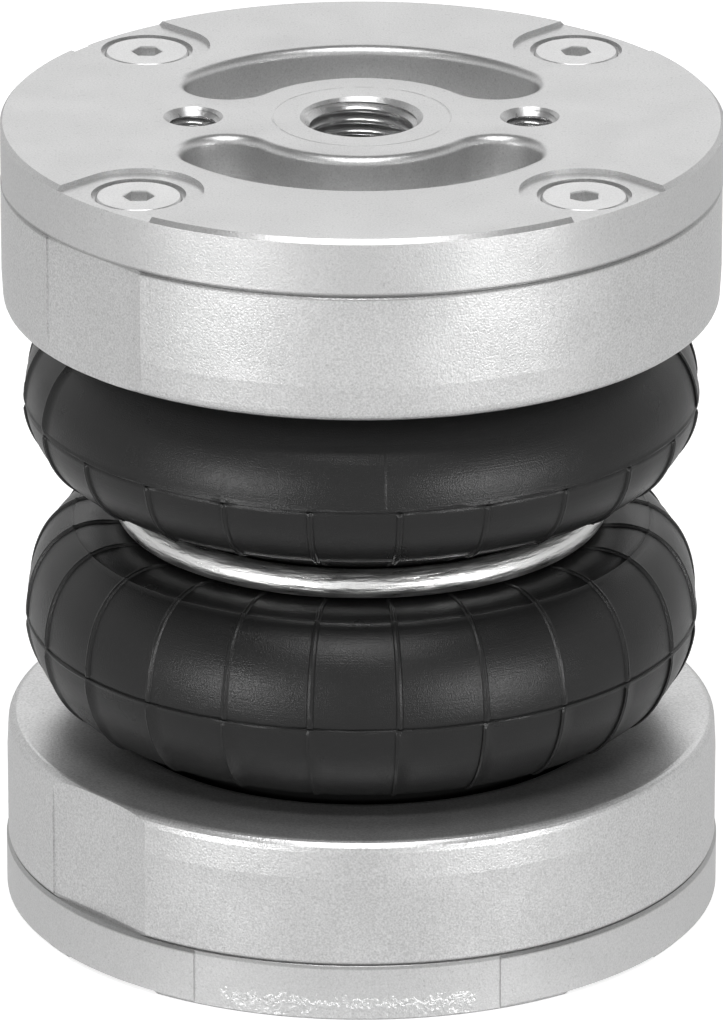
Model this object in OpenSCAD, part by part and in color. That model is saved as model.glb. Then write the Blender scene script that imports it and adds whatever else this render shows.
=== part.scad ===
// Double-convolution air bellows actuator: a moulded rubber bellows with a steel
// girdle hoop at its waist, clamped at each end between a cast cover and a clamp ring.
// Millimetres, +Z along the stroke, origin at the middle of the lower cover's outer face.

/* [Caps] */
// Diameter of both covers
cap_d = 80; // [76:0.5:92]
// Thickness of a cover at its rim
cover_t = 6.5; // [6:0.25:9]
// Height of a clamp ring
ring_h = 14.5; // [13:0.25:18]
// Step from the cover's rim in to the clamp ring
ring_inset = 0.2; // [0.1:0.05:0.6]
// Height of the cover, from its outer face to the end of its hub
hub_h = 14.5; // [12:0.25:17]
// Chamfer round the outer face of a cover
face_chamfer = 0.5; // [0.3:0.05:1]
// Chamfers that make the groove between cover and ring
split_chamfer = 0.3; // [0.15:0.05:0.6]
// Fillet round the bellows side of a clamp ring
edge_fillet = 1.2; // [0.6:0.1:2]
// Distance from the ring's bellows side to its casting line
casting_line = 4.2; // [3:0.1:6]
// Draft of the ring from its casting line to the bellows side
ring_draft = 0.15; // [0.05:0.05:0.4]
// Width of the flat on the side of each clamp ring
flat_w = 15.5; // [10:0.5:20]
// Depth of the step at each side of the cast flat
flat_step = 0.15; // [0.05:0.05:0.4]
// Bearing of the flat, clockwise from the front
flat_bearing = -48; // [-60:1:-30]
// Depth of the cast relief on the rim of each cover
relief_depth = 0.25; // [0.1:0.05:0.5]
// Angle that the rim relief covers
relief_angle = 50; // [30:1:60]
// Bearing of the relief on the lower cover
lower_relief_bearing = -2.5; // [-15:0.5:15]
// Bearing of the relief on the upper cover
upper_relief_bearing = -105; // [-120:1:-90]

/* [Cover screws] */
// Thread diameter of a cover screw
screw_d = 5; // [4:0.5:6]
// Head diameter
screw_head_d = 9.4; // [8:0.1:10.4]
// Length over all
screw_l = 16; // [13:0.5:18]
// Width across the flats of the hexagon socket
socket_af = 3; // [2.5:0.5:4]
// Depth of the socket
socket_depth = 1.9; // [1.2:0.1:2.4]
// Rim of the head, above its cone
head_land = 0.35; // [0.2:0.05:0.6]
// Distance from the cover's rim in to the screw circle
screw_edge = 6; // [5.6:0.1:7]
// Width of the milled recess round each screw
recess_w = 14.2; // [12.6:0.2:16]
// Depth of the milled recess
recess_depth = 0.5; // [0.3:0.1:1]
// How far a screw head lies below the recess floor
head_sink = 0.15; // [0.05:0.05:0.6]
// Slack all round a screw head in its countersink
head_clear = 0.05; // [0.03:0.01:0.12]
// Gap round a screw head in its recess
rim_gap = 0.45; // [0.2:0.05:0.7]
// Radial slack of a screw in its cover
hole_clear = 0.25; // [0.15:0.05:0.5]
// Radial slack of a screw in its ring
thread_clear = 0.05; // [0.03:0.01:0.1]
// Depth of the screw hole past the screw's end
hole_spare = 1.2; // [0.5:0.1:2]

/* [Port and mounting threads] */
// Core diameter of the air port's pipe thread
port_d = 11.44; // [8.5:0.01:15]
// Mouth diameter of the port's chamfer
port_mouth_d = 13.6; // [13:0.1:18]
// Distance between the two mounting threads
mount_spacing = 37; // [34:0.5:39]
// Core diameter of a mounting thread
mount_d = 5; // [3.3:0.1:5.2]
// Mouth diameter of a mounting thread's chamfer
mount_mouth_d = 6.6; // [5.4:0.1:8]
// Depth of a mounting thread's hole
mount_depth = 11; // [8:0.5:11.5]

/* [Cover pockets] */
// Radius of the middle line of the two curved pockets
pocket_r = 18.65; // [17:0.05:20]
// Width of a pocket
pocket_w = 9.7; // [7:0.1:10.5]
// Angle between the round ends of a pocket, measured to their centres
pocket_angle = 105; // [80:1:110]
// Depth of a pocket
pocket_depth = 4.4; // [3.5:0.1:5]
// Rounding of a pocket's rim
pocket_fillet = 1; // [0.5:0.1:1.5]

/* [Bellows] */
// Height of the bellows between the two clamp rings, as it stands unloaded
bellows_h = 49; // [44:0.5:54]
// Distance from the lower clamp ring up to the crown of the lower convolution
lower_crown = 12.25; // [11:0.05:13]
// Distance from the upper clamp ring down to the crown of the upper convolution
upper_crown = 11.5; // [10:0.05:12]
// Distance from the cap's rim in to the crown of a convolution
bellows_inset = 2.8; // [2:0.1:4]
// Thickness of the rubber wall
wall = 2.6; // [2:0.1:3]
// Width of the bead that the caps clamp
bead_w = 6.3; // [5.4:0.1:7]
// Height of the bead's straight side
bead_h = 4.6; // [4:0.1:6]
// Height of the cone on which the ring holds the bead
seat_rise = 2.8; // [1.5:0.1:3.5]
// Slack between the bead and the metal round it
bead_clear = 0.1; // [0.05:0.05:0.3]
// Wall of the clamp ring between the bead and a screw
screw_wall = 1.7; // [1.2:0.1:2.4]
// Slack between the cover's hub and the bead
hub_clear = 0.5; // [0.3:0.1:1]
// Room between the neck of the bellows and the ring's bore
neck_clear = 0.7; // [0.4:0.1:1]
// Rounding of the ring's mouth, over which the rubber bends
lip_r = 2.4; // [1.5:0.1:3]
// Level run of rubber between the ring's mouth and the round of the convolution
shoulder = 1; // [0.5:0.1:2]
// Height of a moulded rib on the rubber
rib_h = 0.4; // [0.2:0.05:0.6]
// Width of a moulded rib at the crown
rib_w = 0.9; // [0.6:0.1:1.6]
// Ribs round one convolution
rib_count = 24; // [12:1:30]
// Bearing of the first rib
rib_bearing = 6.4; // [0:0.1:15]
// Half angle of the plain panel on the upper convolution's cap side
panel_half_angle = 68; // [30:1:80]
// Diameter of the steel hoop inside each bead
core_d = 2.8; // [2:0.1:3.2]
// Slack round the bead hoop
core_clear = 0.05; // [0.02:0.01:0.1]

/* [Girdle] */
// Height of the girdle above the middle of the bellows
girdle_rise = 0.6; // [0:0.1:1.5]
// Distance from the middle line of a convolution's round in to the girdle's wire
girdle_inset = 4.1; // [3:0.1:5]
// Distance from the girdle's plane down to the crest of the lower convolution
lower_crest = 0.65; // [0.4:0.05:1.4]
// Distance from the girdle's plane up to the crest of the upper convolution
upper_crest = 4.45; // [3:0.05:5]
// Thickness of the girdle's wire
wire_d = 3.2; // [2.4:0.1:4]
// Room between the girdle and the rubber
girdle_clear = 0.3; // [0.2:0.05:0.5]
// Half the joint line between the two convolutions
waist_clear = 0.1; // [0.05:0.05:0.2]

/* [Hidden] */
$fn = 96;
eps = 0.5;
cap_r = cap_d / 2;
ring_r = cap_r - ring_inset;
cap_h = cover_t + ring_h;
total_h = 2 * cap_h + bellows_h;
waist_z = cap_h + bellows_h / 2 + girdle_rise;

screw_r = cap_r - screw_edge;
screw_bearings = [-45, 45, 135, -135];
head_z = recess_depth + head_sink;
head_cone_h = (screw_head_d - screw_d) / 2;

seat_r = screw_r - screw_d / 2 - screw_wall;
bead_out_r = seat_r - bead_clear;
neck_in_r = bead_out_r - bead_w;
hub_r = neck_in_r - hub_clear;
neck_out_r = neck_in_r + wall;
bore_r = neck_out_r + neck_clear;
lip_x = bore_r + lip_r;
lip_z = cap_h - lip_r;
seat_z = cover_t + bead_clear + bead_h;

round_x = lip_x + shoulder;
wire_x = round_x - girdle_inset;
groove_r = wire_d / 2 + girdle_clear;
crown_r = cap_r - bellows_inset;
crown_w = crown_r - round_x;
core_x = (neck_in_r + bead_out_r) / 2;
core_z = cover_t + bead_clear + bead_h / 2;
rib_root = 0.5;
rib_foot_angle = -72;
rib_top_angle = 82;

// Points on an ellipse in the r-z plane, from one angle to another
function curve(x, z, rx, rz, from, to, steps) = [
    for (i = [0:steps])
        let (a = from + (to - from) * i / steps)
        [x + rx * cos(a), z + rz * sin(a)]
];

function reverse(points) = [for (i = [len(points) - 1:-1:0]) points[i]];

// Turns its children to a bearing, clockwise from the front, with +X pointing outwards
module at_bearing(bearing) {
    rotate([0, 0, bearing - 90]) children();
}

// Turns a part of the lower cap over, to the upper end
module upper_end() {
    translate([0, 0, total_h]) mirror([0, 0, 1]) children();
}

// Round hole from the outer face, with a chamfered mouth
module chamfered_hole(hole_d, mouth_d, depth) {
    translate([0, 0, -eps]) cylinder(d = hole_d, h = depth + eps);
    translate([0, 0, -eps])
        cylinder(d1 = mouth_d + 2 * eps, d2 = hole_d, h = (mouth_d - hole_d) / 2 + eps);
}

// Half section of a pocket, with the rounded rim at the outer face
module pocket_section() {
    half = pocket_w / 2;
    polygon(concat(
        [[0, -eps], [half + pocket_fillet, -eps]],
        curve(half + pocket_fillet, pocket_fillet, pocket_fillet, pocket_fillet, -90, -180, 6),
        [[half, pocket_depth], [0, pocket_depth]]
    ));
}

// Curved pocket with round ends, about the axis of the cover
module pocket() {
    rotate([0, 0, -pocket_angle / 2]) rotate_extrude(angle = pocket_angle)
        translate([pocket_r, 0]) {
            pocket_section();
            mirror([1, 0]) pocket_section();
        }
    for (side = [-1, 1])
        rotate([0, 0, side * pocket_angle / 2]) translate([pocket_r, 0, 0])
            rotate_extrude() pocket_section();
}

// Milled recess, countersink and clearance hole of one screw, with +X outwards
module screw_place() {
    translate([screw_r, 0, -eps]) cylinder(d = recess_w, h = recess_depth + eps);
    translate([screw_r, -recess_w / 2, -eps]) cube([recess_w, recess_w, recess_depth + eps]);
    translate([screw_r, 0, 0]) {
        cylinder(d = screw_d + 2 * hole_clear, h = cover_t + eps);
        translate([0, 0, head_z + head_land])
            cylinder(d1 = screw_head_d + 2 * head_clear, d2 = screw_d, h = head_cone_h + head_clear);
        cylinder(d = screw_head_d + 2 * rim_gap, h = head_z + head_land);
    }
}

// Turned blank of a cover, with the cast relief on its rim
module cover_blank(relief_bearing) {
    hub_chamfer = 1;
    difference() {
        rotate_extrude() polygon([
            [0, 0], [cap_r - face_chamfer, 0], [cap_r, face_chamfer],
            [cap_r, cover_t - split_chamfer], [cap_r - split_chamfer, cover_t],
            [hub_r, cover_t], [hub_r, hub_h - hub_chamfer], [hub_r - hub_chamfer, hub_h], [0, hub_h]
        ]);
        at_bearing(relief_bearing) rotate([0, 0, -relief_angle / 2])
            rotate_extrude(angle = relief_angle)
                translate([cap_r - relief_depth, -eps]) square([2 * relief_depth, cover_t + 2 * eps]);
    }
}

// Cast and machined cover, outer face at z = 0, hub towards +Z
module cover(ported, relief_bearing) {
    difference() {
        cover_blank(relief_bearing);
        for (bearing = screw_bearings) at_bearing(bearing) screw_place();
        for (bearing = [0, 180]) at_bearing(bearing) pocket();
        for (bearing = [-90, 90]) at_bearing(bearing) translate([mount_spacing / 2, 0, 0])
            chamfered_hole(mount_d, mount_mouth_d, mount_depth);
        if (ported) chamfered_hole(port_d, port_mouth_d, hub_h + eps);
    }
}

// Clamp ring, between its cover and the bellows
module clamp_ring() {
    side_r = ring_r - ring_draft;
    flat_x = sqrt(pow(ring_r, 2) - pow(flat_w / 2, 2)) - flat_step;
    hole_end = head_z + screw_l + hole_spare;
    difference() {
        rotate_extrude() polygon(concat(
            [[seat_r, cover_t], [ring_r - split_chamfer, cover_t], [ring_r, cover_t + split_chamfer],
                [ring_r, cap_h - casting_line]],
            curve(side_r - edge_fillet, cap_h - edge_fillet, edge_fillet, edge_fillet, 0, 90, 6),
            curve(lip_x, lip_z, lip_r, lip_r, 90, 180, 8),
            [[bore_r, seat_z + seat_rise], [seat_r, seat_z]]
        ));
        for (bearing = screw_bearings) at_bearing(bearing) translate([screw_r, 0, cover_t - eps])
            cylinder(d = screw_d + 2 * thread_clear, h = hole_end - cover_t + eps);
        at_bearing(flat_bearing) translate([flat_x, -flat_w / 2, cover_t - eps])
            cube([flat_w, flat_w, ring_h + 2 * eps]);
    }
}

// Countersunk screw with a hexagon socket, head towards the outer face
module cover_screw(bearing) {
    at_bearing(bearing) translate([screw_r, 0, head_z]) difference() {
        union() {
            cylinder(d = screw_head_d, h = head_land);
            translate([0, 0, head_land])
                cylinder(d1 = screw_head_d, d2 = screw_d, h = head_cone_h);
            cylinder(d = screw_d, h = screw_l);
        }
        translate([0, 0, -eps]) cylinder(d = socket_af / cos(30), h = socket_depth + eps, $fn = 6);
    }
}

// Steel hoop moulded into the bead
module bead_hoop() {
    rotate_extrude() translate([core_x, core_z]) circle(d = core_d);
}

// Outline of a convolution's skin from foot to top, moved outwards by an offset. The crown is
// a distance from the clamp ring, and the top is the height of the crest next to the girdle.
function skin(crown, top, offset, from, to) =
    let (equator = cap_h + crown, foot_h = crown - neck_clear, top_h = top - equator)
    concat(
        curve(round_x, equator, crown_w + offset, foot_h + offset, from, 0, 10),
        curve(round_x, equator, crown_w + offset, top_h + offset, 0, to, 10)
    );

// One moulded rib, a narrow sector of a slightly larger skin
module rib(crown, top, bearing, from) {
    angle = rib_w / crown_r * 180 / PI;
    outer = skin(crown, top, rib_h, from, rib_top_angle);
    inner = skin(crown, top, -rib_root, from, rib_top_angle);
    at_bearing(bearing) rotate([0, 0, -angle / 2]) rotate_extrude(angle = angle)
        polygon(concat(outer, reverse(inner)));
}

// One end of the bellows: bead, neck and one convolution up to the waist
module convolution(crown, waist, crest, plain_panel) {
    top = waist - crest;
    groove_start = 360 - atan2(crest, girdle_inset)
        - acos(groove_r / norm([girdle_inset, crest]));
    outside = concat(
        [[neck_in_r, cover_t + bead_clear], [bead_out_r, cover_t + bead_clear],
            [bead_out_r, seat_z - bead_clear], [neck_out_r, seat_z + seat_rise]],
        curve(lip_x, lip_z, lip_r + neck_clear, lip_r + neck_clear, 180, 90, 8),
        skin(crown, top, 0, -90, 90),
        curve(wire_x, waist, groove_r, groove_r, groove_start, 180, 6)
    );
    inside = concat(
        curve(wire_x, waist, groove_r + wall, groove_r + wall, 180, groove_start, 8),
        reverse(skin(crown, top, -wall, -90, 90)),
        curve(lip_x, lip_z, lip_r + neck_clear + wall, lip_r + neck_clear + wall, 90, 180, 8)
    );
    difference() {
        union() {
            rotate_extrude() difference() {
                polygon(concat(outside, inside));
                translate([core_x, core_z]) circle(d = core_d + 2 * core_clear);
            }
            for (i = [0:rib_count - 1]) {
                bearing = rib_bearing + i * 360 / rib_count;
                turned = bearing > 180 ? bearing - 360 : bearing;
                in_panel = plain_panel && abs(turned) < panel_half_angle;
                rib(crown, top, bearing, in_panel ? 0 : rib_foot_angle);
            }
        }
        translate([0, 0, waist - waist_clear]) cylinder(r = cap_r, h = wall);
    }
}

module lower_cover() {
    color("lightgray") cover(false, lower_relief_bearing);
}

module upper_cover() {
    color("lightgray") upper_end() cover(true, upper_relief_bearing);
}

module lower_clamp_ring() {
    color("silver") clamp_ring();
}

module upper_clamp_ring() {
    color("silver") upper_end() clamp_ring();
}

module lower_cover_screw(i) {
    color("gainsboro") cover_screw(screw_bearings[i]);
}

module upper_cover_screw(i) {
    color("gainsboro") upper_end() cover_screw(screw_bearings[i]);
}

module lower_bead_hoop() {
    color("slategray") bead_hoop();
}

module upper_bead_hoop() {
    color("slategray") upper_end() bead_hoop();
}

module lower_convolution() {
    color([0.12, 0.12, 0.12]) convolution(lower_crown, waist_z, lower_crest, false);
}

module upper_convolution() {
    color([0.12, 0.12, 0.12]) upper_end()
        convolution(upper_crown, total_h - waist_z, upper_crest, true);
}

module girdle_ring() {
    color("whitesmoke") rotate_extrude() translate([wire_x, waist_z]) circle(d = wire_d);
}

lower_cover();
lower_clamp_ring();
lower_bead_hoop();
lower_convolution();
girdle_ring();
upper_convolution();
upper_bead_hoop();
upper_clamp_ring();
upper_cover();
for (i = [0:3]) {
    lower_cover_screw(i);
    upper_cover_screw(i);
}
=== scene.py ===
# %% [markdown]
# # Dressing an air bellows actuator
# A rubber bellows with two convolutions is clamped between two round metal caps, and a steel hoop girdles
# its waist. The CAD model brings every piece at its true size and place. This lesson keeps that frame as
# it is and gives each surface its real finish, remodelling the pieces that need finer shapes: the tapped
# covers, the socket screws and the ribbed rubber.

# %% Load the frame
import math
from collections import namedtuple

import bmesh
import bpy
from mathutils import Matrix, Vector


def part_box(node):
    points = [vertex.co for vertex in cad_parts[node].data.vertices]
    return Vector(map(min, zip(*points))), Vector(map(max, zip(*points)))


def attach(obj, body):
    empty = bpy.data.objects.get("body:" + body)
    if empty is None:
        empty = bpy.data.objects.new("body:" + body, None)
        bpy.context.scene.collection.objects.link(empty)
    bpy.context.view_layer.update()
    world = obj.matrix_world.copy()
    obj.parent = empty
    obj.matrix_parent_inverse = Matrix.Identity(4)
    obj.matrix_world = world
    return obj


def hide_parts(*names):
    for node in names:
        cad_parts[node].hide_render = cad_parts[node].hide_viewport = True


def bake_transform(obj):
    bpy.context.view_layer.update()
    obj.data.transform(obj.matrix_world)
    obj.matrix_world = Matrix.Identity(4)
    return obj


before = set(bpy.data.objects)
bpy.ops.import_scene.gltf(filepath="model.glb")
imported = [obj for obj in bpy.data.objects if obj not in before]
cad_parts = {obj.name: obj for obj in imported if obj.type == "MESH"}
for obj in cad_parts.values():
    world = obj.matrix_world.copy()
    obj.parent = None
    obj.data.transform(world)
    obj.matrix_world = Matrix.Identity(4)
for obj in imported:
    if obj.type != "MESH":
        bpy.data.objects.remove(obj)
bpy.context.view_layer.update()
MM = 0.001

# %% [markdown]
# ## The camera
# A long lens from some distance keeps the two caps nearly the same width, as a catalogue picture does.
# The scale of the picture where the camera looks is what was measured, so the focal length is worked out
# from it, from the distance and from the height of the image.

# %% Camera
IMAGE_H = 1024
SENSOR = 36.0
PIXELS_PER_METRE = 8967
CAMERA_DISTANCE = 1.2
CAMERA_ELEVATION = math.radians(21.4)
LOOK_AT = Vector((0, 0, 44.3 * MM))

back = Vector((0, -math.cos(CAMERA_ELEVATION), math.sin(CAMERA_ELEVATION)))
bpy.ops.object.camera_add(location=LOOK_AT + back * CAMERA_DISTANCE,
                          rotation=(math.pi / 2 - CAMERA_ELEVATION, 0, 0))
camera = bpy.context.object
camera.name = "catalogue_camera"
camera.data.sensor_width = SENSOR
camera.data.lens = PIXELS_PER_METRE * CAMERA_DISTANCE / IMAGE_H * SENSOR
bpy.context.scene.camera = camera
bpy.context.scene.view_settings.view_transform = "Standard"
print("lens in mm:", round(camera.data.lens, 1))

# %% [markdown]
# ## Studio light
# Satin metal and dull rubber show what stands round them, so the room matters as much as the lamps. Two
# low soft boxes in front, left and right, give the two broad highlights on the round sides. One high in
# front lights the shoulders of the rubber, one overhead the chamfers, and one behind fills the far side.


# %% Lamps
def soft_box(name, place, width, height, watts):
    """A rectangular area lamp that faces the middle of the object."""
    bpy.ops.object.light_add(type="AREA", location=place)
    lamp = bpy.context.object
    lamp.name = name
    lamp.data.shape = "RECTANGLE"
    lamp.data.size, lamp.data.size_y = width, height
    lamp.data.energy = watts
    lamp.rotation_euler = (LOOK_AT - Vector(place)).to_track_quat("-Z", "Y").to_euler()


soft_box("left_soft_box", (-0.64, -0.72, 0.09), 0.46, 0.15, 3.1)
soft_box("right_soft_box", (0.64, -0.72, 0.09), 0.46, 0.15, 3.5)
soft_box("front_soft_box", (-0.03, -0.65, 1.06), 0.50, 0.16, 4.2)
soft_box("top_soft_box", (0, -0.20, 1.00), 0.60, 0.25, 2.6)
soft_box("rear_soft_box", (0.15, 1.10, 0.62), 1.20, 0.50, 1.25)

# %% [markdown]
# ## Room and floor
# The world and every finish are built of nodes, and a few short helpers add and link them. The world fills
# the shadows. The camera sees it as plain white, and reflections see pale walls under a dark ceiling, which
# keeps the tops of the folds deep black. The floor is white paper that glows a little where it is seen.


# %% Node helpers
def finish_start(name, colour, metallic, roughness):
    """A new material with its Principled shader set to even values."""
    material = bpy.data.materials.new(name)
    material.use_nodes = True
    shader = material.node_tree.nodes["Principled BSDF"]
    shader.inputs["Base Color"].default_value = (*colour, 1)
    shader.inputs["Metallic"].default_value = metallic
    shader.inputs["Roughness"].default_value = roughness
    return material, material.node_tree, shader


def add_node(tree, kind, inputs=None, **settings):
    """A node with its settings, whose inputs take numbers or the outputs of other nodes."""
    made = tree.nodes.new(kind)
    for name, value in settings.items():
        setattr(made, name, value)
    for name, value in (inputs or {}).items():
        if isinstance(value, bpy.types.NodeSocket):
            tree.links.new(value, made.inputs[name])
        else:
            made.inputs[name].default_value = value
    return made


def calc(tree, operation, *values):
    """The result of a Math node on numbers or the outputs of other nodes."""
    return add_node(tree, "ShaderNodeMath", dict(enumerate(values)), operation=operation).outputs[0]


def spread(tree, value, low, high, start=0.3, end=0.7):
    """A value between start and end, turned into a number between low and high."""
    made = add_node(tree, "ShaderNodeMapRange",
                    {"Value": value, "From Min": start, "From Max": end, "To Min": low, "To Max": high})
    return made.outputs["Result"]


def white_where_seen(tree, reflected=1.0):
    """1 for what the camera sees, a share of it for reflections and refractions, and 0 for plain lighting."""
    path = add_node(tree, "ShaderNodeLightPath")
    seen = path.outputs["Is Camera Ray"]
    for other in ("Is Glossy Ray", "Is Transmission Ray"):
        seen = calc(tree, "MAXIMUM", seen, calc(tree, "MULTIPLY", path.outputs[other], reflected))
    return seen


# %% World
WORLD_FILL, WALLS, CEILING = 0.23, 0.73, 0.08
CEILING_STARTS, CEILING_ENDS = math.sin(math.radians(28)), math.sin(math.radians(50))

world = bpy.data.worlds.new("studio")
world.use_nodes = True
bpy.context.scene.world = world
tree = world.node_tree
direction = add_node(tree, "ShaderNodeTexCoord").outputs["Object"]
up = add_node(tree, "ShaderNodeSeparateXYZ", {0: direction}).outputs["Z"]
room = spread(tree, up, WALLS, CEILING, CEILING_STARTS, CEILING_ENDS)
backdrop = calc(tree, "MAXIMUM", room, add_node(tree, "ShaderNodeLightPath").outputs["Is Camera Ray"])
level = spread(tree, white_where_seen(tree), WORLD_FILL, backdrop, 0.0, 1.0)
background = tree.nodes["Background"]
background.inputs["Color"].default_value = (1, 1, 1, 1)
tree.links.new(level, background.inputs["Strength"])
print("world:", world.name, "with", len(tree.nodes), "nodes")

# %% Floor
FLOOR_SIZE, FLOOR_DROP, FLOOR_TONE, FLOOR_ROUGHNESS = 8, 0.05, 0.7, 0.9
FLOOR_LIFT, FLOOR_REFLECTED = 0.75, 0.265

bpy.ops.mesh.primitive_plane_add(size=FLOOR_SIZE, location=(0, 0, -FLOOR_DROP * MM))
floor = bpy.context.object
floor.name = "studio_floor"
paper, tree, shader = finish_start("floor_paper", (FLOOR_TONE,) * 3, 0.0, FLOOR_ROUGHNESS)
shader.inputs["Specular IOR Level"].default_value = 0.0
shader.inputs["Emission Color"].default_value = (1, 1, 1, 1)
glow = calc(tree, "MULTIPLY", white_where_seen(tree, FLOOR_REFLECTED), FLOOR_LIFT)
tree.links.new(glow, shader.inputs["Emission Strength"])
floor.data.materials.append(paper)
print("floor:", floor.name)

# %% [markdown]
# ## Finishes
# Every finish starts from the Principled shader. What makes it look real is its grain: noise on the
# piece's own Object coordinates, at a size in millimetres, which tilts the surface through a Bump node and
# makes the roughness uneven. More helpers make these patterns, so that each finish reads as a recipe.


# %% Helpers for finishes
def object_place(tree):
    """The place on the piece, in metres."""
    return add_node(tree, "ShaderNodeTexCoord").outputs["Object"]


def place_round_axis(tree, radius):
    """The place as length round the Z axis, distance from it and height: a pattern on it follows a ring."""
    split = add_node(tree, "ShaderNodeSeparateXYZ", {0: object_place(tree)})
    front = calc(tree, "MULTIPLY", split.outputs["Y"], -1.0)
    turn = calc(tree, "ARCTAN2", split.outputs["X"], front)
    length = calc(tree, "MULTIPLY", turn, radius)
    flat = add_node(tree, "ShaderNodeCombineXYZ", {"X": split.outputs["X"], "Y": split.outputs["Y"]})
    away = add_node(tree, "ShaderNodeVectorMath", {0: flat.outputs[0]}, operation="LENGTH")
    made = add_node(tree, "ShaderNodeCombineXYZ",
                    {"X": length, "Y": away.outputs["Value"], "Z": split.outputs["Z"]})
    return made.outputs[0]


def grain(tree, place, size, detail=2.0, stretch=(1, 1, 1)):
    """Noise from 0 to 1 with lumps of a size in metres, drawn out along the axes by stretch."""
    scaled = add_node(tree, "ShaderNodeMapping",
                      {"Vector": place, "Scale": [1 / (size * s) for s in stretch]})
    noise = add_node(tree, "ShaderNodeTexNoise",
                     {"Vector": scaled.outputs[0], "Scale": 1.0, "Detail": detail})
    return noise.outputs["Fac"]


def rough_up(tree, shader, heights):
    """Chains Bump nodes, each a height from 0 to 1 with its depth in metres, into the shader's normal."""
    below = None
    for height, depth in heights:
        bump = add_node(tree, "ShaderNodeBump", {"Height": height, "Distance": depth, "Strength": 1.0})
        if below:
            tree.links.new(below, bump.inputs["Normal"])
        below = bump.outputs["Normal"]
    tree.links.new(below, shader.inputs["Normal"])


# %% [markdown]
# ## Blasted aluminium
# The caps are cast, machined and then blasted with fine beads. Such a surface is a satin mirror broken by
# pits about a fifth of a millimetre wide, with darker specks where a pit is deep. Two marks of the making
# are added as bumps: a worn tool circle round the port and the rough patch of the casting's gate on the
# lower rim. Painted shade darkens the narrow grooves where a cover meets its ring.

# %% Marks on the caps
# The joint numbers set the painted shade in the grooves where a cover meets its ring.
MIDDLE_Z, JOINT_AWAY = 45.5, 39.0
JOINT_SHADE_TONE, JOINT_SHADE_EDGE = 0.68, (0.36, 0.52)
CIRCLE_R, CIRCLE_EDGE, CIRCLE_DEPTH = 9.8, (0.03, 0.11), 0.05
WEAR_SIZE, WEAR_RANGE = 2.5, (0.40, 0.55)
RIM_R, RIM_STARTS = 40, (38.9, 39.4)
GATE_LUMP, GATE_DEPTH, GATE_RAGGED, GATE_TOP = 0.7, 0.18, 4, (3.8, 4.4)
GATE_SHIFT, GATE_ENDS = 1.6, (13.0, 15.0)


def fade(tree, value, low, high, edge):
    """A number that goes from low to high while a length goes through an edge, in mm."""
    return spread(tree, value, low, high, edge[0] * MM, edge[1] * MM)


def apart_from(tree, value, place):
    """How far a length is from a place in mm, on either side of it."""
    return calc(tree, "ABSOLUTE", calc(tree, "SUBTRACT", value, place * MM))


def machined_circle(tree):
    """The fine circle that a spot-facing tool left round the port, worn away in places."""
    radius = add_node(tree, "ShaderNodeSeparateXYZ", {0: place_round_axis(tree, 1.0)}).outputs["Y"]
    line = fade(tree, apart_from(tree, radius, CIRCLE_R), 1.0, 0.0, CIRCLE_EDGE)
    worn = spread(tree, grain(tree, object_place(tree), WEAR_SIZE * MM), 0.0, 1.0, *WEAR_RANGE)
    return calc(tree, "MULTIPLY", line, worn), -CIRCLE_DEPTH * MM


def cast_edge(tree):
    """The rough patch that the casting's gate left low on the front of the rim."""
    place = add_node(tree, "ShaderNodeSeparateXYZ", {0: place_round_axis(tree, RIM_R * MM)})
    lumps = grain(tree, object_place(tree), GATE_LUMP * MM, detail=4)
    ragged = calc(tree, "MULTIPLY_ADD", lumps, GATE_RAGGED * MM, place.outputs["Z"])
    low = fade(tree, ragged, 1.0, 0.0, GATE_TOP)
    near = fade(tree, apart_from(tree, place.outputs["X"], -GATE_SHIFT), 1.0, 0.0, GATE_ENDS)
    rim = fade(tree, place.outputs["Y"], 0.0, 1.0, RIM_STARTS)
    patch = calc(tree, "MULTIPLY", low, calc(tree, "MULTIPLY", near, rim))
    return calc(tree, "MULTIPLY", lumps, patch), GATE_DEPTH * MM


def painted_joint_shade(tree):
    """1, or less in the two narrow grooves where a cover meets its ring: painted shade that darkens the metal
    there.
    """
    height = add_node(tree, "ShaderNodeSeparateXYZ", {0: object_place(tree)}).outputs["Z"]
    away = apart_from(tree, apart_from(tree, height, MIDDLE_Z), JOINT_AWAY)
    return fade(tree, away, JOINT_SHADE_TONE, 1.0, JOINT_SHADE_EDGE)


# %% Metal finishes
METALLIC = 0.82
CLOUD_SIZE, CLOUD_TONE, CLOUD_ROUGHNESS = 6, 0.015, 0.03
SPECK_SIZE, SPECK_TONE, SPECK_RANGE = 1.6, 0.80, (0.60, 0.74)


def blasted_metal(name, colour, roughness, pit, pit_depth, contrast=0.09, mark=None, shaded_joints=False):
    """A satin metal with pits of a size and depth, whose tone changes from pit to pit by a contrast."""
    material, tree, shader = finish_start(name, (colour,) * 3, METALLIC, roughness)
    place = object_place(tree)
    pits = grain(tree, place, pit)
    deep = grain(tree, place, SPECK_SIZE * pit, detail=4)
    clouds = grain(tree, place, CLOUD_SIZE * MM, detail=3)
    tone = calc(tree, "MULTIPLY", spread(tree, pits, 1 - contrast, 1 + contrast),
                spread(tree, clouds, 1 - CLOUD_TONE, 1 + CLOUD_TONE))
    tone = calc(tree, "MULTIPLY", tone, spread(tree, deep, 1.0, SPECK_TONE, *SPECK_RANGE))
    # Painted shade darkens the grooves where a cover meets its ring.
    if shaded_joints:
        tone = calc(tree, "MULTIPLY", tone, painted_joint_shade(tree))
    shade = calc(tree, "MULTIPLY", tone, colour)
    mixed = add_node(tree, "ShaderNodeCombineColor", {channel: shade for channel in ("Red", "Green", "Blue")})
    tree.links.new(mixed.outputs[0], shader.inputs["Base Color"])
    uneven = spread(tree, clouds, roughness - CLOUD_ROUGHNESS, roughness + CLOUD_ROUGHNESS)
    tree.links.new(uneven, shader.inputs["Roughness"])
    rough_up(tree, shader, [(pits, pit_depth)] + ([mark(tree)] if mark else []))
    return material


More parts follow.
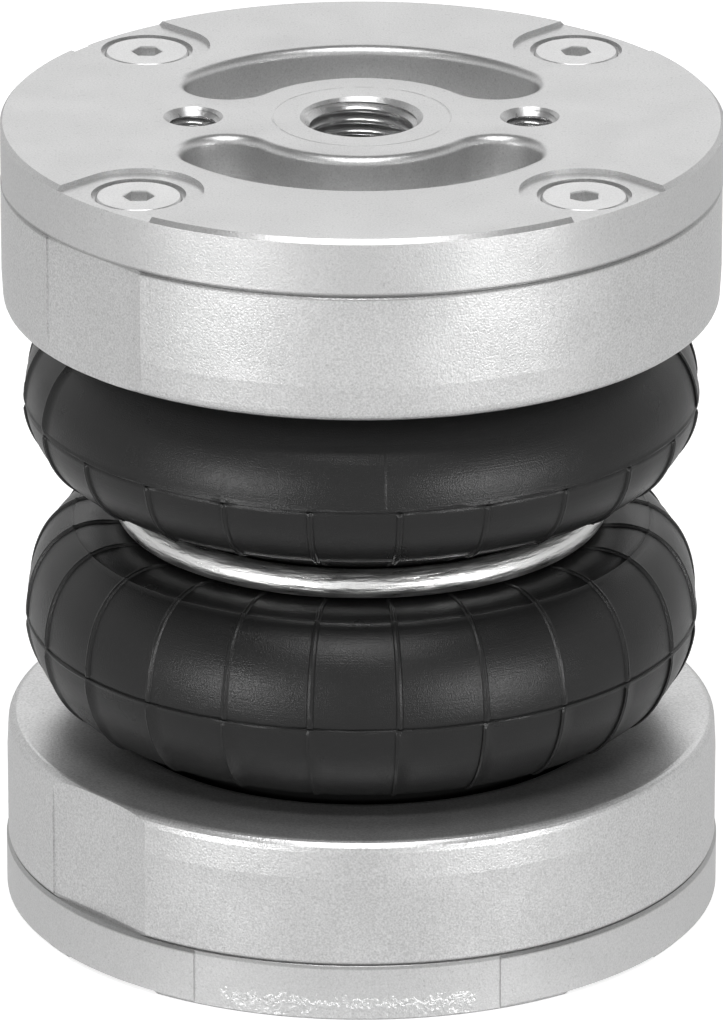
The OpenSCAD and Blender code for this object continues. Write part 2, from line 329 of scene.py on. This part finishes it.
upper_cover_metal = blasted_metal("blasted_cover_metal", 0.61, 0.34, 0.20 * MM, 0.022 * MM,
                                  mark=machined_circle, shaded_joints=True)
lower_cover_metal = blasted_metal("cast_cover_metal", 0.61, 0.34, 0.20 * MM, 0.022 * MM,
                                  mark=cast_edge, shaded_joints=True)
ring_metal = blasted_metal("cast_ring_metal", 0.63, 0.33, 0.22 * MM, 0.028 * MM, contrast=0.16, shaded_joints=True)
thread_metal = blasted_metal("machined_thread_metal", 0.66, 0.24, 0.12 * MM, 0.003 * MM)
screw_zinc = blasted_metal("zinc_plated_screws", 0.68, 0.34, 0.16 * MM, 0.004 * MM)
# A brighter zinc for the faces inside the socket: painted light in the deep socket.
painted_light_socket_zinc = blasted_metal("socket_zinc_painted_lighter", 0.80, 0.34, 0.16 * MM, 0.004 * MM)
print("finish of the rings:", ring_metal.name)

# %% [markdown]
# ## Zinc-plated wire
# The girdle is a hoop of plated steel wire, and a plainer hoop lies hidden in each bead. Drawing left fine
# scratches along the wire, so its noise is stretched round the axis, and small glints break up the light.

# %% Wire finishes
WIRE_BEND_R, STREAK_LENGTH, STREAK_DEPTH = 26, 7, 0.16
GLINT_SIZE, GLINT_DEPTH = 0.22, 0.045
SMOOTHEST, ROUGHEST, WARMTH = 0.10, 0.14, 0.99


def plated_steel(name, colour, roughness, scratch_size):
    """Plated or drawn steel: brighter than the caps, with fine scratches drawn out round the axis."""
    material, tree, shader = finish_start(name, (colour, colour, colour * WARMTH), 1.0, roughness)
    round_place = place_round_axis(tree, WIRE_BEND_R * MM)
    streaks = grain(tree, round_place, scratch_size, detail=4, stretch=(STREAK_LENGTH, 1, 1))
    glints = grain(tree, object_place(tree), GLINT_SIZE * MM)
    uneven = spread(tree, streaks, roughness - SMOOTHEST, roughness + ROUGHEST)
    tree.links.new(uneven, shader.inputs["Roughness"])
    rough_up(tree, shader, [(streaks, STREAK_DEPTH * MM), (glints, GLINT_DEPTH * MM)])
    return material


girdle_zinc = plated_steel("zinc_plated_girdle", 0.82, 0.36, 0.55 * MM)
hoop_wire = plated_steel("drawn_hoop_wire", 0.65, 0.40, 0.30 * MM)
print("finishes of the wires:", girdle_zinc.name, hoop_wire.name)

# %% [markdown]
# ## Moulded rubber
# The bellows is near-black rubber with the dull sheen of a mould that was turned on a lathe: fine lines
# run round it, and a faint grain breaks up the highlights.

# %% Rubber finish
RUBBER_TONE, RUBBER_SHEEN, RUBBER_ROUGHNESS = 0.013, 0.29, (0.27, 0.33)
TURNING_R, TURNING_SIZE, TURNING_LENGTH, TURNING_DEPTH = 35, 0.16, 60, 0.016
SKIN_SIZE, SKIN_DEPTH, BLOOM_SIZE = 0.14, 0.036, 7


def moulded_rubber(name):
    """Near-black rubber with the turning lines of its mould and a fine skin grain."""
    material, tree, shader = finish_start(name, (RUBBER_TONE,) * 3, 0.0, sum(RUBBER_ROUGHNESS) / 2)
    shader.inputs["Specular IOR Level"].default_value = RUBBER_SHEEN
    round_place = place_round_axis(tree, TURNING_R * MM)
    turning = grain(tree, round_place, TURNING_SIZE * MM, detail=2, stretch=(TURNING_LENGTH, 1, 1))
    skin_grain = grain(tree, object_place(tree), SKIN_SIZE * MM, detail=1)
    bloom = grain(tree, object_place(tree), BLOOM_SIZE * MM, detail=3)
    tree.links.new(spread(tree, bloom, *RUBBER_ROUGHNESS), shader.inputs["Roughness"])
    rough_up(tree, shader, [(turning, TURNING_DEPTH * MM), (skin_grain, SKIN_DEPTH * MM)])
    return material


rubber = moulded_rubber("moulded_rubber")
print("finish of the bellows:", rubber.name)

# %% [markdown]
# ## Drawing and turning
# Most pieces here are turned on a lathe or moulded round an axis. By hand you would merge a plane to one
# vertex, extrude it from point to point along half the section, and spin the outline round Z. The helpers
# below do just that, and they pick vertices by where they lie.

# %% Modelling helpers
# Vertices that are nearer than this, in mm, count as one.
WELD, TIGHT = 0.002, 0.001


def select_only(piece):
    """Makes a piece the only selected one, and the active one."""
    bpy.ops.object.select_all(action="DESELECT")
    piece.select_set(True)
    bpy.context.view_layer.objects.active = piece


def draw_outline(name, points):
    """A chain of edges in the XZ plane, extruded from one vertex along (radius, height) points in mm."""
    bpy.ops.object.select_all(action="DESELECT")
    bpy.ops.mesh.primitive_plane_add(size=MM)
    piece = bpy.context.object
    piece.name = name
    bpy.ops.object.mode_set(mode="EDIT")
    bpy.ops.mesh.merge(type="CENTER")
    bpy.ops.transform.translate(value=(points[0][0] * MM, 0, points[0][1] * MM))
    for (x0, z0), (x1, z1) in zip(points, points[1:]):
        step = ((x1 - x0) * MM, 0, (z1 - z0) * MM)
        bpy.ops.mesh.extrude_region_move(TRANSFORM_OT_translate={"value": step})
    return piece


def spin_on(degrees, steps, copies=False):
    """Spins what is selected round Z, from X towards Y; the new end stays selected."""
    bpy.ops.mesh.spin(steps=steps, angle=math.radians(degrees), center=(0, 0, 0), axis=(0, 0, -1),
                      dupli=copies)


def pick_vertices(piece, wanted):
    """Selects the vertices that make wanted true, and no others."""
    bpy.ops.mesh.select_mode(type="VERT")
    bpy.ops.mesh.select_all(action="DESELECT")
    shape = bmesh.from_edit_mesh(piece.data)
    for vertex in shape.verts:
        vertex.select = wanted(vertex)
    shape.select_flush_mode()
    bmesh.update_edit_mesh(piece.data)


def weld():
    """Merges what spinning left double and turns the faces outwards."""
    bpy.ops.mesh.select_all(action="SELECT")
    bpy.ops.mesh.remove_doubles(threshold=WELD * MM)
    bpy.ops.mesh.normals_make_consistent(inside=False)


def close_up(smooth_angle=40):
    """Welds the piece, leaves edit mode and shades the soft edges smooth."""
    weld()
    bpy.ops.object.mode_set(mode="OBJECT")
    bpy.ops.object.shade_smooth_by_angle(angle=math.radians(smooth_angle))


def bulge(share, fullness):
    """A cosine or sine, bent so that its arc is an ellipse at fullness 2, fuller above and flatter below."""
    return math.copysign(abs(share) ** (2 / fullness), share)


def arc(x, z, width, height, start, end, steps, fullness=2.0):
    """Points of an arc in mm, by angles in degrees."""
    turns = [math.radians(start + (end - start) * i / steps) for i in range(steps + 1)]
    return [(x + width * bulge(math.cos(t), fullness), z + height * bulge(math.sin(t), fullness))
            for t in turns]


# %% [markdown]
# ## The ribbed bellows
# The real bellows is moulded in one piece: a bead at each end, two convolutions with a wall of 2.6 mm, and
# shallow ribs that stiffen them. A fine parting groove runs round each crown where the mould halves met.
# One sector with one rib is modelled, spun into copies and merged, so all the ribs are alike, as in a
# mould. The upper convolution has a plain panel in front, where its ribs stop at the crown and one fine
# upright line is left from a joint in the mould.

# %% Section of a convolution
CAP_H, TOTAL_H, WAIST_Z = 21.0, 91.0, 46.1
WALL, ROUND_X, CROWN_R = 2.6, 30.1, 37.4
WIRE_X, GROOVE_R, WAIST_CLEAR = 26.0, 1.9, 0.1
LIP_X, LIP_Z, LIP_R, NECK_CLEAR = 29.1, 18.6, 2.4, 0.7
LIP_END, FOOT_START = 120, -94
BEAD_R, BEAD_FOOT, BEAD_SHOULDER, NECK_FOOT = 29.7, 6.6, 11.1, 14.0
SEAM = ((0, -0.45), (0.02, -0.30), (0.13, -0.12), (0.11, 0.04), (-0.09, 0.16), (-0.03, 0.32), (0, 0.5))
SEAM_ANGLE = 6
MOULD_LINE_ANGLE, MOULD_LINE_H = 70, 0.10
RUN_SHARES = (0.3, 0.6, 0.9)

# One half of the bellows, seen from its own end: the height of the crown above the cap and of the waist
# above the end, how far the crest is from the waist and from the axis, how far the foot is drawn up, and
# how full the skin is below and above the crown.
Half = namedtuple("Half", "crown waist crest crest_x foot_rise foot_fullness top_fullness")
LOWER_HALF = Half(12.25, WAIST_Z, 1.7, 29.0, 1.4, 1.8, 2.2)
UPPER_HALF = Half(11.1, TOTAL_H - WAIST_Z, 4.45, ROUND_X, 1.2, 2.0, 1.85)


def skin_heights(half):
    """The crown's height, and how far the skin runs down from it to the foot and up to the crest."""
    equator = CAP_H + half.crown
    return equator, half.crown - NECK_CLEAR - half.foot_rise, half.waist - half.crest - equator


def groove_turn(half):
    """The angle on the groove round the girdle where the straight run from the crest meets it."""
    inset = half.crest_x - WIRE_X
    to_crest = math.hypot(inset, half.crest)
    return 360 - math.degrees(math.atan2(half.crest, inset) + math.acos(GROOVE_R / to_crest))


def crest_run(half):
    """Points on the straight run of the skin, from the crest of a convolution to the groove of the girdle."""
    x1, z1 = arc(WIRE_X, half.waist, GROOVE_R, GROOVE_R, groove_turn(half), 180, 1)[0]
    x0, z0 = half.crest_x, half.waist - half.crest
    return [(x0 + (x1 - x0) * share, z0 + (z1 - z0) * share) for share in RUN_SHARES]


def convolution_outline(half):
    """One end of the bellows: bead, neck, skin to the waist, and back inside."""
    equator, foot_h, top_h = skin_heights(half)
    neck_r, lip = LIP_X - LIP_R - NECK_CLEAR, LIP_R + NECK_CLEAR
    foot_w, top_w = CROWN_R - ROUND_X, CROWN_R - half.crest_x
    shoulder = (half.crest_x, equator, top_w, top_h)
    points = [(neck_r - WALL, BEAD_FOOT), (BEAD_R, BEAD_FOOT), (BEAD_R, BEAD_SHOULDER), (neck_r, NECK_FOOT)]
    points += arc(LIP_X, LIP_Z, lip, lip, 180, LIP_END, 5)
    points += arc(ROUND_X, equator, foot_w, foot_h, FOOT_START, -SEAM_ANGLE, 20, half.foot_fullness)
    points += [(CROWN_R + out, equator + up) for out, up in SEAM]
    points += arc(*shoulder, SEAM_ANGLE, MOULD_LINE_ANGLE - 1, 18, half.top_fullness)
    points += arc(half.crest_x, equator, top_w + MOULD_LINE_H, top_h + MOULD_LINE_H,
                  MOULD_LINE_ANGLE, MOULD_LINE_ANGLE, 1, half.top_fullness)[:1]
    points += arc(*shoulder, MOULD_LINE_ANGLE + 1, 90, 5, half.top_fullness)
    points += crest_run(half)
    end_turn = 180 + math.degrees(WAIST_CLEAR / GROOVE_R)
    points += arc(WIRE_X, half.waist, GROOVE_R, GROOVE_R, groove_turn(half), end_turn, 6)
    inner_groove, inner_start = GROOVE_R + WALL, 180 + (end_turn - 180) / 2
    points += arc(WIRE_X, half.waist, inner_groove, inner_groove, inner_start, groove_turn(half), 6)
    points += arc(half.crest_x, equator, top_w - WALL, top_h - WALL, 90, 0, 7)
    points += arc(ROUND_X, equator, foot_w - WALL, foot_h - WALL, 0, -90, 7)[1:]
    points += arc(LIP_X, LIP_Z, lip + WALL, lip + WALL, 90, 180, 5)
    return points + [points[0]]


# %% One sector with its rib
RIBS = 24
RIB_ANGLE, RIB_STEPS, PANEL_STEPS = 1.25, 6, 7
RIB_H = 0.29
RIB_SHARES = {1: 0.7, 2: 1.0, 3: 1.0, 4: 1.0, 5: 0.7}
RIB_FOOT, RIB_TOP = -78, 90.5
RIB_STAGGER, SEAM_GAP = 0.25, 0.2
RIB_END_ANGLE, RIB_END_SHARE = 6, 0.7
RUN_RIB_SHARES = (1, 0.9, 0.6)
COLUMN_SLACK, RUN_SLACK, SKIN_SLACK = 0.1, 0.05, 0.06


def rib_height(place, half, ribbed_foot):
    """How far a vertex of a sector is raised, by its column in the rib and its height on the skin."""
    radius = math.hypot(place.x, place.y)
    turn = abs(math.degrees(math.atan2(place.y, place.x)))
    column = turn / (RIB_ANGLE / RIB_STEPS)
    if round(column) not in RIB_SHARES or abs(column - round(column)) > COLUMN_SLACK:
        return 0
    full_h = RIB_H * RIB_SHARES[round(column)]
    for (x, z), share in zip(crest_run(half), RUN_RIB_SHARES):
        if math.hypot(radius - x, place.z - z) < RUN_SLACK:
            return round(full_h * share, 3)
    equator, foot_h, top_h = skin_heights(half)
    rise = place.z - equator
    middle, height, fullness = ((half.crest_x, top_h, half.top_fullness) if rise > 0
                                else (ROUND_X, foot_h, half.foot_fullness))
    across, up = (radius - middle) / (CROWN_R - middle), rise / height
    if abs(abs(across) ** fullness + abs(up) ** fullness - 1) > SKIN_SLACK:
        return 0
    angle = math.degrees(math.atan2(up, across))
    if abs(rise) < SEAM_GAP or not RIB_FOOT < angle < RIB_TOP or (rise < 0 and not ribbed_foot):
        return 0
    near_end = abs(rise) < 2 * SEAM_GAP or angle < RIB_FOOT + RIB_END_ANGLE
    return round(full_h * (RIB_END_SHARE if near_end else 1), 3)


def bellows_sectors(name, half, ribbed_foot, count):
    """A row of equal sectors, each with one rib, from the X axis on; left in object mode."""
    piece = draw_outline(name, convolution_outline(half))
    bpy.ops.mesh.select_all(action="SELECT")
    spin_on(RIB_ANGLE, RIB_STEPS)
    spin_on(360 / RIBS - RIB_ANGLE, PANEL_STEPS)
    weld()
    vertices = bmesh.from_edit_mesh(piece.data).verts
    lifts = {v.index: rib_height(v.co / MM, half, ribbed_foot) for v in vertices}
    for height in sorted(set(lifts.values()) - {0}):
        pick_vertices(piece, lambda v: lifts[v.index] == height)
        bpy.ops.transform.shrink_fatten(value=height * MM)
    pick_vertices(piece, lambda v: lifts[v.index] and v.co.z / MM < CAP_H + half.crown)
    bpy.ops.transform.rotate(value=math.radians(RIB_STAGGER), orient_axis="Z", center_override=(0, 0, 0))
    if count > 1:
        bpy.ops.mesh.select_all(action="SELECT")
        spin_on(360 / RIBS * (count - 1), count - 1, copies=True)
    bpy.ops.object.mode_set(mode="OBJECT")
    return piece


# %% The two halves of the bellows
FIRST_RIB, SECTOR = 6.4, 360 / RIBS
PLAIN_SECTORS, PLAIN_BEFORE = 9, 4
PLAIN_FROM = FIRST_RIB - PLAIN_BEFORE * SECTOR
SEAM_RAGGED, SEAM_SEED = 0.04, 7
LINE_BEARING, LINE_W, LINE_H = math.radians(4.0), 0.15, 0.06
LINE_LOW, LINE_HIGH, LINE_FOOT, LINE_HEAD = 59.1, 66.2, 0.2, 0.6
LINE_REACH, LINE_SLACK, SKIN_R = 4, 0.01, 32


def turn_to(piece, bearing):
    """Turns a row of sectors until its first rib is at a bearing from the front."""
    piece.rotation_euler.z = math.radians(bearing - 90 - RIB_ANGLE / 2)
    select_only(piece)
    bpy.ops.object.transform_apply(location=False, rotation=True, scale=False)


def witness_line(piece):
    """Raises the fine upright line that a joint in the mould left on the plain panel."""
    along = Vector((math.cos(LINE_BEARING), math.sin(LINE_BEARING), 0))
    outwards = Vector((math.sin(LINE_BEARING), -math.cos(LINE_BEARING), 0))

    def pick_strip(reach, low, high):
        """Selects the outer skin beside the line, as far as reach, between two heights."""
        pick_vertices(piece, lambda v: abs(v.co.dot(along)) < reach * MM and v.co.dot(outwards) > SKIN_R * MM
                      and low < v.co.z / MM < high)

    for offset in (-LINE_W * 1.5, -LINE_W / 2, 0, LINE_W / 2, LINE_W * 1.5):
        pick_strip(LINE_REACH, LINE_LOW, LINE_HIGH)
        bpy.ops.mesh.bisect(plane_co=along * offset * MM, plane_no=along, threshold=TIGHT * MM)
    pick_strip(LINE_SLACK, LINE_LOW + LINE_FOOT, LINE_HIGH - LINE_HEAD)
    bpy.ops.transform.shrink_fatten(value=LINE_H * MM)


def finish_bellows(piece, equator, node):
    """Roughens the parting seam, closes the piece up, hides its node and sets the piece in its place."""
    inner_r = CROWN_R - WALL / 2
    pick_vertices(piece, lambda v: abs(v.co.z / MM - equator) < 2 * SEAM_GAP
                  and v.co.xy.length / MM > inner_r)
    bpy.ops.transform.vertex_random(offset=SEAM_RAGGED * MM, seed=SEAM_SEED, wait_for_input=False)
    close_up()
    piece.data.materials.append(rubber)
    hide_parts(node)
    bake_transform(piece)
    print(piece.name, len(piece.data.polygons), "faces")


def merge_sectors():
    """Goes into edit mode and makes one closed skin of the sectors, facing outwards."""
    bpy.ops.object.mode_set(mode="EDIT")
    weld()


lower_bellows = bellows_sectors("lower_bellows", LOWER_HALF, True, RIBS)
turn_to(lower_bellows, FIRST_RIB)
merge_sectors()
finish_bellows(lower_bellows, CAP_H + LOWER_HALF.crown, "lower_convolution")

upper_bellows = bellows_sectors("upper_bellows", UPPER_HALF, True, RIBS - PLAIN_SECTORS)
turn_to(upper_bellows, PLAIN_FROM + PLAIN_SECTORS * SECTOR)
plain_panel = bellows_sectors("plain_panel", UPPER_HALF, False, PLAIN_SECTORS)
turn_to(plain_panel, PLAIN_FROM)
upper_bellows.select_set(True)
bpy.context.view_layer.objects.active = upper_bellows
bpy.ops.object.join()
upper_bellows.scale.z = -1
upper_bellows.location.z = TOTAL_H * MM
bpy.ops.object.transform_apply(location=True, rotation=False, scale=True)
merge_sectors()
witness_line(upper_bellows)
finish_bellows(upper_bellows, TOTAL_H - CAP_H - UPPER_HALF.crown, "upper_convolution")

# %% [markdown]
# ## Tapped covers
# The CAD covers have plain bores at the core size of their threads. A copy of each mesh is tapped as a
# tap does it: a triangular section is wound into a coil with the Screw modifier, and the coil is cut out of
# the bore. The port is a quarter-inch pipe thread and the mounting holes are M6.

# %% Cutting the threads
PORT_R, PORT_PITCH, PORT_DEPTH, PORT_TURNS, PORT_START = 5.72, 1.337, 0.82, 13, 15.6
MOUNT_R, MOUNT_PITCH, MOUNT_DEPTH, MOUNT_TURNS, MOUNT_X = 2.5, 1.0, 0.56, 11, 18.5
MOUNT_STARTS = {"lower": -0.5, "upper": TOTAL_H - 10.5}
COIL_STEPS, FLANK_ANGLE, FLARE = 48, 29, 0.11
PORT_MOUTH_R, MOUNT_MOUTH_R, MOUTH_DEPTH = 6.83, 3.33, 0.7
MOUTHS = ((0, PORT_MOUTH_R), (-MOUNT_X, MOUNT_MOUTH_R), (MOUNT_X, MOUNT_MOUTH_R))
COVER_SMOOTH = 30


def thread_coil(core_r, pitch, depth, turns):
    """A coil of V section round Z, which rises from z = 0, cuts depth into a bore and breaks its edge."""
    flank = (depth - FLARE) * math.tan(math.radians(FLANK_ANGLE))
    coil = draw_outline("coil", [
        (core_r + depth, 0), (core_r + FLARE, flank), (core_r - FLARE, flank + 2 * FLARE),
        (core_r - FLARE, -flank - 2 * FLARE), (core_r + FLARE, -flank), (core_r + depth, 0)])
    bpy.ops.mesh.select_all(action="SELECT")
    bpy.ops.mesh.remove_doubles(threshold=TIGHT * MM)
    bpy.ops.object.mode_set(mode="OBJECT")
    wind = coil.modifiers.new("wind", "SCREW")
    wind.screw_offset = pitch * MM
    wind.iterations = turns
    wind.steps = wind.render_steps = COIL_STEPS
    bpy.ops.object.modifier_apply(modifier=wind.name)
    bpy.ops.object.mode_set(mode="EDIT")
    bpy.ops.mesh.select_all(action="SELECT")
    bpy.ops.mesh.fill_holes(sides=0)
    bpy.ops.mesh.normals_make_consistent(inside=False)
    bpy.ops.object.mode_set(mode="OBJECT")
    return coil


def cut_out(piece, cutter, place):
    """Cuts a cutter, moved to a place in mm, out of a piece, and deletes the cutter."""
    cutter.location = Vector(place) * MM
    cut = piece.modifiers.new("cut", "BOOLEAN")
    cut.operation, cut.solver, cut.object = "DIFFERENCE", "EXACT", cutter
    select_only(piece)
    bpy.ops.object.modifier_apply(modifier=cut.name)
    bpy.data.objects.remove(cutter)


def copy_of_node(name, node):
    """A new object with a merged copy of a CAD node's mesh, in object mode."""
    piece = bpy.data.objects.new(name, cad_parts[node].data.copy())
    bpy.context.collection.objects.link(piece)
    select_only(piece)
    bpy.ops.mesh.customdata_custom_splitnormals_clear()
    bpy.ops.object.mode_set(mode="EDIT")
    bpy.ops.mesh.select_all(action="SELECT")
    bpy.ops.mesh.remove_doubles(threshold=TIGHT * MM)
    bpy.ops.object.mode_set(mode="OBJECT")
    return piece


def finish_threads(piece):
    """Gives the faces in the threaded holes, below their mouths, the machined finish of the second slot."""
    for face in piece.data.polygons:
        depth = min(face.center.z / MM, TOTAL_H - face.center.z / MM)
        for x, radius in MOUTHS:
            if math.hypot(face.center.x / MM - x, face.center.y / MM) < radius and depth > MOUTH_DEPTH:
                face.material_index = 1


for end in ("lower", "upper"):
    cover = copy_of_node(f"tapped_{end}_cover", f"{end}_cover")
    for x in (-MOUNT_X, MOUNT_X):
        coil = thread_coil(MOUNT_R, MOUNT_PITCH, MOUNT_DEPTH, MOUNT_TURNS)
        cut_out(cover, coil, (x, 0, MOUNT_STARTS[end]))
    if end == "upper":
        coil = thread_coil(PORT_R, PORT_PITCH, PORT_DEPTH, PORT_TURNS)
        cut_out(cover, coil, (0, 0, TOTAL_H - PORT_START))
    bpy.ops.object.shade_smooth_by_angle(angle=math.radians(COVER_SMOOTH))
    cover.data.materials.clear()
    cover.data.materials.append(upper_cover_metal if end == "upper" else lower_cover_metal)
    cover.data.materials.append(thread_metal)
    finish_threads(cover)
    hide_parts(f"{end}_cover")
    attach(cover, f"{end}_cap")
    print(cover.name, len(cover.data.polygons), "faces")

# %% [markdown]
# ## Socket screws
# A countersunk screw is turned: its outline is drawn once and spun. The hexagon socket is punched, which
# leaves a slightly rounded mouth, so the rim of the cut is bevelled. The faces inside get a brighter zinc as
# painted light in the deep socket. Each of the eight screws is a copy that stopped turning at its own angle.

# %% One screw
HEAD_R, HEAD_RIM, HEAD_LAND, HEAD_INNER_R = 4.7, 0.22, 0.35, 1.9
SHANK_R, SHANK_TIP, SCREW_L = 2.5, 0.4, 16.0
SCREW_STEPS, SCREW_SMOOTH = 64, 25
SOCKET_AF, SOCKET_DEPTH, SOCKET_ROUND, SOCKET_SLACK = 3.0, 1.9, 0.10, 0.01
SOCKET_CORNER = SOCKET_AF / 2 / math.cos(math.pi / 6)

screw = draw_outline("screw", [
    (0, 0), (HEAD_INNER_R, 0), (HEAD_R - HEAD_RIM, 0), (HEAD_R, -HEAD_RIM), (HEAD_R, -HEAD_LAND),
    (SHANK_R, -HEAD_LAND - HEAD_R + SHANK_R), (SHANK_R, SHANK_TIP - SCREW_L),
    (SHANK_R - SHANK_TIP, -SCREW_L), (0, -SCREW_L)])
bpy.ops.mesh.select_all(action="SELECT")
spin_on(360, SCREW_STEPS)
close_up(SCREW_SMOOTH)
bpy.ops.mesh.primitive_cylinder_add(vertices=6, radius=SOCKET_CORNER * MM, depth=2 * SOCKET_DEPTH * MM)
cut_out(screw, bpy.context.object, (0, 0, 0))
bpy.ops.object.mode_set(mode="EDIT")
rim_r = (SOCKET_CORNER + HEAD_INNER_R) / 2
pick_vertices(screw, lambda v: abs(v.co.z) < SOCKET_SLACK * MM and v.co.xy.length < rim_r * MM)
bpy.ops.mesh.bevel(offset=SOCKET_ROUND * MM, segments=2, affect="EDGES")
bpy.ops.mesh.select_all(action="SELECT")
bpy.ops.mesh.normals_make_consistent(inside=False)
bpy.ops.object.mode_set(mode="OBJECT")
screw.data.materials.append(screw_zinc)
screw.data.materials.append(painted_light_socket_zinc)
# The faces inside the socket take the brighter zinc: painted light in the deep socket.
for face in screw.data.polygons:
    inside = -SOCKET_DEPTH - SOCKET_SLACK < face.center.z / MM < -SOCKET_ROUND
    if inside and face.center.xy.length / MM < SOCKET_CORNER:
        face.material_index = 1
print(screw.name, len(screw.data.polygons), "faces")

# %% Eight screws
STOPS = {"upper": (30, -2, 17, 28), "lower": (11, 48, 33, 27)}

for end, stops in STOPS.items():
    for number, stop in enumerate(stops, 1):
        node = f"{end}_cover_screw_{number}"
        low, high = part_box(node)
        piece = bpy.data.objects.new(f"socket_screw_{end}_{number}", screw.data.copy())
        bpy.context.collection.objects.link(piece)
        middle = (low + high) / 2
        piece.location = (middle.x, middle.y, high.z if end == "upper" else low.z)
        piece.rotation_euler = (0 if end == "upper" else math.pi, 0, math.radians(stop))
        select_only(piece)
        bpy.ops.object.transform_apply(location=True, rotation=True, scale=True)
        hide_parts(node)
        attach(piece, f"{end}_cap")
bpy.data.objects.remove(screw)
print("screws placed:", sum(len(stops) for stops in STOPS.values()))

# %% [markdown]
# ## Dressing the CAD pieces
# A CAD piece whose shape is right stays as it is and only gets its finish.


# %% Finishes of the CAD pieces
def dress(node, material):
    """Gives a CAD piece one finish in place of its plain one."""
    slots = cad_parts[node].data.materials
    slots.clear()
    slots.append(material)


for end in ("lower", "upper"):
    dress(f"{end}_clamp_ring", ring_metal)
    dress(f"{end}_bead_hoop", hoop_wire)
dress("girdle_ring", girdle_zinc)
print("dressed: two clamp rings, two bead hoops and the girdle")
